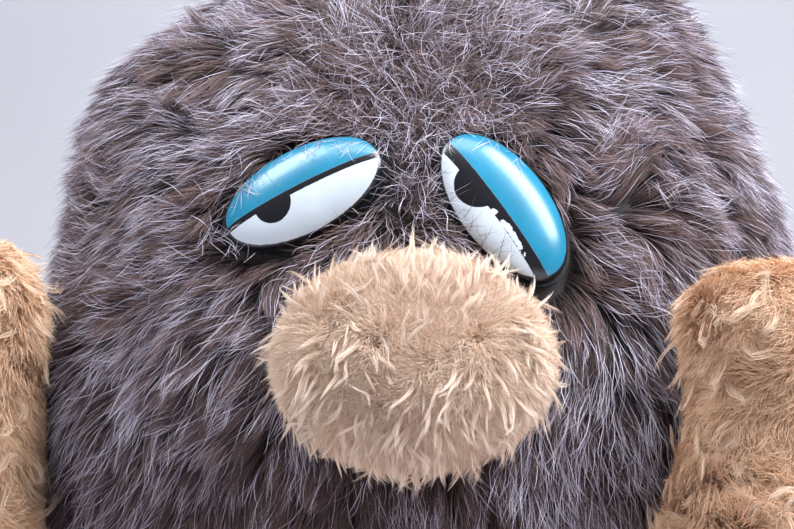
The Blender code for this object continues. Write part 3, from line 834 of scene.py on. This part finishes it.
def shrunk(name, surface_nodes, inset, mat, body, slot, nodes, skip=None):
    """A soft closed skin a little inside some CAD nodes, from their joined outer shape."""
    corners, faces, corner_normal, _ = outer_faces(surface_nodes, skip)
    used = np.unique(faces)
    key = np.round(corners[used] / (0.6 * MM)).astype(np.int64)
    _, first, same = np.unique(key, axis=0, return_index=True, return_inverse=True)
    same = same.ravel()
    back = np.full(len(corners), -1)
    back[used] = same
    place = corners[used][first] - corner_normal[used][first] * inset
    tri = back[faces]
    good = (tri[:, 0] != tri[:, 1]) & (tri[:, 1] != tri[:, 2]) & (tri[:, 0] != tri[:, 2])
    me = bpy.data.meshes.new(name)
    me.from_pydata([tuple(v) for v in place], [], [tuple(int(i) for i in f) for f in tri[good]])
    me.validate()
    for p in me.polygons:
        p.use_smooth = True
    me.materials.append(mat)
    ob = bpy.data.objects.new(name, me)
    link(ob, body, slot, *nodes)


def muzzle_comb(point, normal):
    """The muzzle's pile leaves a level parting upwards and downwards, and spreads at the sides."""
    rel = point - MUZZLE_AT
    a = (rel @ MUZZLE_RIGHT) / MUZZLE_HALF[0]
    b = (rel @ MUZZLE_UP) / MUZZLE_HALF[1]
    split = b - 0.30 + 0.30 * sway(point * 1.6)
    upright = 0.35 * b + 0.75 * np.tanh(split * 4.0)
    want = MUZZLE_RIGHT[None] * (a * np.abs(a) * 0.9)[:, None] + MUZZLE_UP[None] * upright[:, None]
    want = want + 0.2 * np.stack([sway(point * 2.3), swirl(point), swirl(point + 0.3)], -1)
    return unit(want - normal * dot(want, normal))


def on_muzzle(turn, around):
    """Place and outward normal on the muzzle's egg; turn 0 is its tip."""
    local = np.stack([np.sin(turn) * np.cos(around), np.sin(turn) * np.sin(around), np.cos(turn)], -1)
    axes = np.stack([MUZZLE_RIGHT, MUZZLE_UP, MUZZLE_OUT])
    point = MUZZLE_AT + (local * MUZZLE_HALF) @ axes
    return point, unit((local / MUZZLE_HALF) @ axes)


def scatter_on_muzzle(density):
    area = 2 * np.pi * (np.prod(np.array(MUZZLE_HALF)) ** (2 / 3))
    count = int(area * density * 2.2)
    turn = np.arccos(rng.uniform(-0.25, 1.0, count))
    around = rng.uniform(0, 2 * np.pi, count)
    point, normal = on_muzzle(turn, around)
    # an even spread over the sphere is thinned to an even spread over the egg
    stretch = 1 / np.linalg.norm(normal @ np.stack(
        [MUZZLE_RIGHT * MUZZLE_HALF[0], MUZZLE_UP * MUZZLE_HALF[1], MUZZLE_OUT * MUZZLE_HALF[2]]
    ).T, axis=1)
    keep = rng.random(count) < stretch / stretch.max()
    point, normal = point[keep], normal[keep]
    radius = np.hypot(point[:, 0], point[:, 1]) / BODY_R
    rise = np.where(point[:, 2] > WIDE_Z, CROWN, DROP)
    outside = np.hypot(radius, (point[:, 2] - WIDE_Z) / rise) > 0.985
    return point[outside], normal[outside]


grow_tan(
    "muzzle_fur", scatter_on_muzzle, muzzle_comb, "body", TAN,
    dict(
        clump=2.6 * MM, depth=4.6 * MM, steps=3, length=8.4 * MM, rise=(72, 30), rise_spread=12,
        lead_fan=1.0, lead_wave=0.7, fan=1.15, wave=1.0, pull=0.3, width=0.18 * MM,
        density=11.5e6,
    ),
)
grow_tufts(
    "muzzle_tufts", scatter_on_muzzle, muzzle_comb, "body", TAN_TUFT,
    dict(
        apart=4.2 * MM, strands=24, depth=3.5 * MM, steps=6, length=13.5 * MM, rise=(58, 14),
        rise_spread=8, fan=0.22, wave=0.9, radius=1.3 * MM, close=0.86, width=0.12 * MM,
    ),
)


DOME_SWEEP = math.pi * 0.58  # how far the padded shape goes past its widest ring


def dome_skin(name, half, mat, around=64, along=24):
    """The muzzle's padded shape: a low dome closed over the body's surface."""
    verts = []
    for r in range(1, along + 1):
        t = DOME_SWEEP * r / along
        for k in range(around):
            a = 2 * math.pi * k / around
            verts.append(
                MUZZLE_AT
                + MUZZLE_RIGHT * half[0] * math.sin(t) * math.cos(a)
                + MUZZLE_UP * half[1] * math.sin(t) * math.sin(a)
                + MUZZLE_OUT * half[2] * math.cos(t)
            )
    verts.append(MUZZLE_AT + MUZZLE_OUT * half[2])
    verts.append(MUZZLE_AT + MUZZLE_OUT * half[2] * math.cos(DOME_SWEEP))
    return mesh_object(name, verts, closed_rings(along, around), mat)


muzzle_skin = dome_skin("muzzle_skin", [h - 4.5 * MM for h in MUZZLE_HALF], TAN_SKIN)
link(muzzle_skin, "body", "tan_fur", "muzzle_cover")
muzzle_fill = dome_skin("muzzle_fill", [h - 7.5 * MM for h in MUZZLE_HALF], FILL)
link(muzzle_fill, "body", "stuffing", "muzzle_stuffing")

JOINTS = {j["child"]: j for j in frame["record"]["behaviour"]["joints"]}


def limb(body, halves, settings, mat):
    """One arm or leg: skin, wool and fill."""
    covers = [f"{body}_cover_{half}" for half in halves]
    stuffing = f"{body}_stuffing"
    corners, _ = cad_mesh([stuffing])
    pivot = np.array(JOINTS[body]["pos_m"])
    far = corners[np.argmax(np.linalg.norm(corners - pivot, axis=1))]
    near_end = corners[np.argmin((corners - far) @ unit(far - corners.mean(0)))]
    axis = unit(far - near_end)
    twist = Waves(34 * MM)
    curl = Waves(15 * MM)

    def on_neck(points):
        line = np.array(JOINTS[body]["axis"])
        rel = points - pivot
        off = np.linalg.norm(rel - dot(rel, line[None]) * line[None], axis=1)
        centre = corners.mean(0)
        inward = dot(points - centre, unit(pivot - centre)[None])[:, 0]
        return (off < 10.6 * MM) & (inward > 27.5 * MM) if body.startswith("arm") else off < -1

    def comb(point, normal):
        flat = axis[None] - normal * dot(axis[None], normal)
        weak = np.linalg.norm(flat, axis=1, keepdims=True) < 0.2
        flat = np.where(weak, flat + 0.3 * np.cross(normal, UP[None]), flat)
        flat = unit(flat)
        return turned(flat, normal, 0.75 * twist(point) + 0.45 * curl(point))

    surface = outer_faces(covers + [stuffing], on_neck)
    shrunk(f"{body}_skin", covers + [stuffing], 5 * MM, TAN_SKIN, body, "tan_fur", covers, on_neck)
    shrunk(f"{body}_fill", [stuffing], 1 * MM, FILL, body, "stuffing", [stuffing])
    out = unit(np.array((pivot[0], pivot[1], 0.0)))
    face_side = np.cross(out, UP) * (-1.0 if pivot[0] < 0 else 1.0)
    middle = corners.mean(0)

    def spread(density):
        point, normal = scatter_on(surface, density)
        if body in ARM_FULL:
            heights, pushes = ARM_FULL[body]
            push = np.interp(point[:, 2] - WIDE_Z, heights, pushes)
            push = push * smoothstep((point - middle) @ face_side, -4 * MM, 20 * MM)
            point = point + face_side * push[:, None]
        return point, normal

    grow_tan(f"{body}_fur", spread, comb, body, mat, settings)
    grow_tufts(f"{body}_wisps", spread, comb, body, TAN_WISP, ARM_WISPS)


# heights over the body's widest place, and how far the pile is fuller there towards the face
ARM_FULL = {
    "arm_left": (
        np.array((-40, -22, -7, 11, 20, 32, 44)) * MM, np.array((5, -1, -1, 1, 5, 9, 12)) * MM
    ),
    "arm_right": (
        np.array((-40, -13, 0, 17, 28, 40)) * MM, np.array((10, 5, 1, 0, 4, 10)) * MM
    ),
}
ARM_WOOL = dict(
    clump=3.2 * MM, depth=2.5 * MM, steps=3, length=8.5 * MM, rise=(60, 18), rise_spread=9,
    lead_fan=0.6, lead_wave=0.8, fan=0.7, wave=1.1, pull=0.35, width=0.22 * MM, density=4.2e6,
)
ARM_WISPS = dict(
    apart=7.5 * MM, strands=24, depth=1.5 * MM, steps=6, length=17 * MM, rise=(40, 3),
    rise_spread=6, fan=0.5, wave=2.2, radius=2.6 * MM, close=0.75, width=0.12 * MM,
)
LEG_WOOL = dict(ARM_WOOL, density=1.9e6, width=0.34 * MM)
for arm in ("arm_left", "arm_right"):
    limb(arm, ("front", "back"), ARM_WOOL, TAN_SILK)
for leg in ("leg_left", "leg_right"):
    limb(leg, ("inner", "outer"), LEG_WOOL, TAN_SILK)


# ---- eyes ---------------------------------------------------------------------------------
PRINT_SPAN = 100.0  # millimetres across the whole print map
PRINT_BLACK = (0.006, 0.006, 0.008)
# millimetres on the dome: the lid line's height and half width, then the pupil's x, y and radius
EYE_ART = {
    "left": ((-0.9, 0.95), (-8.9, -1.5, 5.9)),
    "right": ((-3.9, 1.8), (-8.6, -3.7, 7.2)),
}


def eye_print_material(side):
    """White eye with a blue lid, a black lid line and a pupil cut off by it."""
    (line_y, line_half), (pupil_x, pupil_y, pupil_r) = EYE_ART[side]
    half_x, half_y = (reach * 1000 for reach in EYES[side][4])
    mat, tree, shader = new_material(f"eye_print_{side}", 0.28, Coat_Weight=0.3, Coat_Roughness=0.16)
    shader.inputs["Specular IOR Level"].default_value = 0.4
    uv = node(tree, "ShaderNodeUVMap", uv_map="EyePrint").outputs["UV"]
    split = node(tree, "ShaderNodeSeparateXYZ")
    tree.links.new(uv, split.inputs["Vector"])

    def maths(operation):
        def join(a, b=0.0):
            made = node(tree, "ShaderNodeMath", operation=operation)
            for socket, value in zip(made.inputs, (a, b)):
                if isinstance(value, (int, float)):
                    socket.default_value = value
                else:
                    tree.links.new(value, socket)
            return made.outputs[0]

        return join

    add, minus, times, over = map(maths, ("ADD", "SUBTRACT", "MULTIPLY", "DIVIDE"))
    greater, lesser, root = map(maths, ("MAXIMUM", "MINIMUM", "SQRT"))

    def step(value, low, high):
        made = node(tree, "ShaderNodeMapRange", interpolation_type="SMOOTHSTEP")
        tree.links.new(value, made.inputs["Value"])
        made.inputs["From Min"].default_value = low
        made.inputs["From Max"].default_value = high
        return made.outputs["Result"]

    # the print's own places in millimetres from the middle of the dome
    x = times(minus(split.outputs["X"], 0.5), PRINT_SPAN)
    y = times(minus(split.outputs["Y"], 0.5), PRINT_SPAN)
    y = add(y, times(minus(noise(tree, uv, 60.0, 5.0), 0.5), 0.35))
    lid = step(y, line_y + line_half - 0.08, line_y + line_half + 0.08)
    line = step(y, line_y - line_half - 0.08, line_y - line_half + 0.08)

    def length(u, v):
        return root(add(times(u, u), times(v, v)))

    far = length(minus(x, pupil_x), minus(y, pupil_y))
    pupil = minus(1.0, step(far, pupil_r - 0.1, pupil_r + 0.1))
    black = times(greater(line, pupil), minus(1.0, lid))
    rim = step(length(over(x, half_x), over(y, half_y)), 0.955, 0.965)
    tint = noise(tree, uv, 9.0, 4.0)
    white = ramp(tree, tint, [(0.3, (0.52, 0.57, 0.62)), (0.7, (0.61, 0.65, 0.69))])
    blue = ramp(tree, tint, [(0.3, (0.009, 0.17, 0.275)), (0.7, (0.013, 0.21, 0.34))])
    if side == "right":
        # the print has flaked off along the middle of the lid line, in a spot and a trail
        chip = noise(tree, uv, 42.0, 3.0, 0.6)
        spot = add(length(minus(x, 0.4), times(minus(y, -5.4), 1.5)), times(chip, 5.0))
        trail = length(times(minus(x, 9.0), 0.28), times(minus(y, -4.9), 1.6))
        worn = minus(1.0, step(lesser(spot, add(trail, times(chip, 4.0))), 3.5, 3.65))
        black = times(black, minus(1.0, worn))
    shade = mix(tree, lid, white, blue)
    shade = mix(tree, black, shade, PRINT_BLACK)
    shade = mix(tree, rim, shade, PRINT_BLACK)
    tree.links.new(shade, shader.inputs["Base Color"])
    return mat


def black_plastic():
    mat, tree, shader = new_material("eye_black", 0.45)
    shader.inputs["Specular IOR Level"].default_value = 0.25
    dust = noise(tree, node(tree, "ShaderNodeTexCoord").outputs["Object"], 700.0, 4.0)
    shade = ramp(tree, dust, [(0.45, (0.006, 0.006, 0.007)), (0.8, (0.03, 0.03, 0.033))])
    tree.links.new(shade, shader.inputs["Base Color"])
    return mat


def build_dome(side, mat):
    """The printed oval: a crowned plastic shell over the CAD dome's outline."""
    spot, long, short, facing, half, tall = EYES[side]
    around, along = 96, 28
    verts, quads, places = [], [], []
    edge = 1.0 * MM
    for r in range(along + 1):
        share = math.cos((math.pi / 2) * r / along)
        height = edge + (tall - edge) * math.sin((math.pi / 2) * r / along)
        ring = 1 if r == along else around
        for k in range(ring):
            a = 2 * math.pi * k / around
            lx, ly = half[0] * share * math.cos(a), half[1] * share * math.sin(a)
            verts.append(spot + long * lx + short * ly + facing * height)
            places.append((lx, ly))
    base = len(verts)
    for k in range(around):
        a = 2 * math.pi * k / around
        lx, ly = half[0] * math.cos(a), half[1] * math.sin(a)
        verts.append(spot + long * lx + short * ly)
        places.append((lx, ly))
    for r in range(along - 1):
        for k in range(around):
            j = (k + 1) % around
            a, b = r * around, (r + 1) * around
            quads.append((a + k, a + j, b + j, b + k))
    for k in range(around):
        j = (k + 1) % around
        quads.append(((along - 1) * around + k, (along - 1) * around + j, along * around))
        quads.append((base + k, base + j, j, k))
    quads.append(tuple(base + k for k in reversed(range(around))))
    ob = mesh_object(f"eye_{side}_print", verts, quads, mat)
    layer = ob.data.uv_layers.new(name="EyePrint")
    for loop in ob.data.loops:
        lx, ly = places[loop.vertex_index]
        layer.data[loop.index].uv = (0.5 + lx / MM / PRINT_SPAN, 0.5 + ly / MM / PRINT_SPAN)
    ob.data.set_sharp_from_angle(angle=math.radians(50))
    link(ob, "body", "eye_print", f"eye_{side}_dome")


BLACK = black_plastic()
WASHER = felt_material("washer_white", (0.62, 0.62, 0.60), (0.78, 0.78, 0.76), 8 * MM)
for eye_side in EYES:
    build_dome(eye_side, eye_print_material(eye_side))
    for part, mat in (("backing", BLACK), ("washer", WASHER)):
        plastic = frame["nodes"][f"eye_{eye_side}_{part}"]
        plastic.data.materials.clear()
        plastic.data.materials.append(mat)


# ---- studio -------------------------------------------------------------------------------
def studio():
    mat, tree, shader = new_material("backdrop_paper", 0.9)
    mottle = noise(tree, node(tree, "ShaderNodeTexCoord").outputs["Object"], 3.0, 2.0)
    shade = ramp(tree, mottle, [(0.3, (0.70, 0.71, 0.77)), (0.7, (0.73, 0.74, 0.80))])
    tree.links.new(shade, shader.inputs["Base Color"])
    verts, quads = [], []
    far, bend, height, half_width = 2.9, 0.5, 3.5, 5.0
    profile = [(-4.5, 0.0), (far, 0.0)]
    for i in range(1, 13):
        a = (math.pi / 2) * i / 12
        profile.append((far + bend * math.sin(a), bend - bend * math.cos(a)))
    profile.append((far + bend, height))
    for y, z in profile:
        verts += [(-half_width, y, z), (half_width, y, z)]
    for i in range(len(profile) - 1):
        quads.append((2 * i, 2 * i + 1, 2 * i + 3, 2 * i + 2))
    sweep = mesh_object("backdrop", verts, quads, mat)
    bpy.context.scene.collection.objects.link(sweep)


def area_light(name, place, target, size, power, colour):
    light = bpy.data.lights.new(name, "AREA")
    light.shape = "RECTANGLE"
    light.size, light.size_y = size
    light.energy = power
    light.color = colour
    ob = bpy.data.objects.new(name, light)
    bpy.context.scene.collection.objects.link(ob)
    ob.location = place
    ob.rotation_euler = (Vector(target) - Vector(place)).to_track_quat("-Z", "Y").to_euler()


def toward(azimuth, elevation, distance):
    a, e = math.radians(azimuth), math.radians(elevation)
    flat = math.cos(e) * distance
    return Vector((flat * math.sin(a), -flat * math.cos(a), math.sin(e) * distance)) + FACE


studio()
FACE = Vector((0.0, -BODY_R * 0.6, WIDE_Z + 0.05))
area_light("softbox_left", toward(-86, 54, 1.0), FACE, (0.4, 0.4), 8.6, (0.89, 0.94, 1.0))
area_light("softbox_right", toward(70, 46, 1.0), FACE, (0.35, 0.75), 22.5, (0.89, 0.94, 1.0))
area_light("softbox_top", toward(-10, 78, 1.2), FACE, (0.8, 0.5), 11.0, (0.90, 0.95, 1.0))
area_light("paper_light", (0.1, 1.9, 1.9), (0.1, 3.3, 0.5), (3.0, 1.0), 39.0, (1.0, 0.99, 0.98))
world = bpy.data.worlds.new("studio_air")
world.use_nodes = True
world.node_tree.nodes["Background"].inputs["Color"].default_value = (0.82, 0.84, 0.95, 1.0)
world.node_tree.nodes["Background"].inputs["Strength"].default_value = 0.27
bpy.context.scene.world = world
bpy.context.scene.view_settings.view_transform = "Standard"

CAMERA_DISTANCE = 0.765
CAMERA_AZIMUTH, CAMERA_ELEVATION = math.radians(3.0), math.radians(5.0)
AIM = Vector((-9.7 * MM, 0.0, WIDE_Z + 46 * MM))
centre = Vector((0.0, 0.0, WIDE_Z))
view_from = centre + CAMERA_DISTANCE * Vector(
    (
        math.cos(CAMERA_ELEVATION) * math.sin(CAMERA_AZIMUTH),
        -math.cos(CAMERA_ELEVATION) * math.cos(CAMERA_AZIMUTH),
        math.sin(CAMERA_ELEVATION),
    )
)
camera = bpy.data.cameras.new("photo_camera")
camera.lens = 100.0
camera.sensor_width = 36.0
camera.clip_start = 0.02
camera_ob = bpy.data.objects.new("photo_camera", camera)
bpy.context.scene.collection.objects.link(camera_ob)
camera_ob.location = view_from
camera_ob.rotation_euler = (AIM - view_from).to_track_quat("-Z", "Y").to_euler()
bpy.context.scene.camera = camera_ob
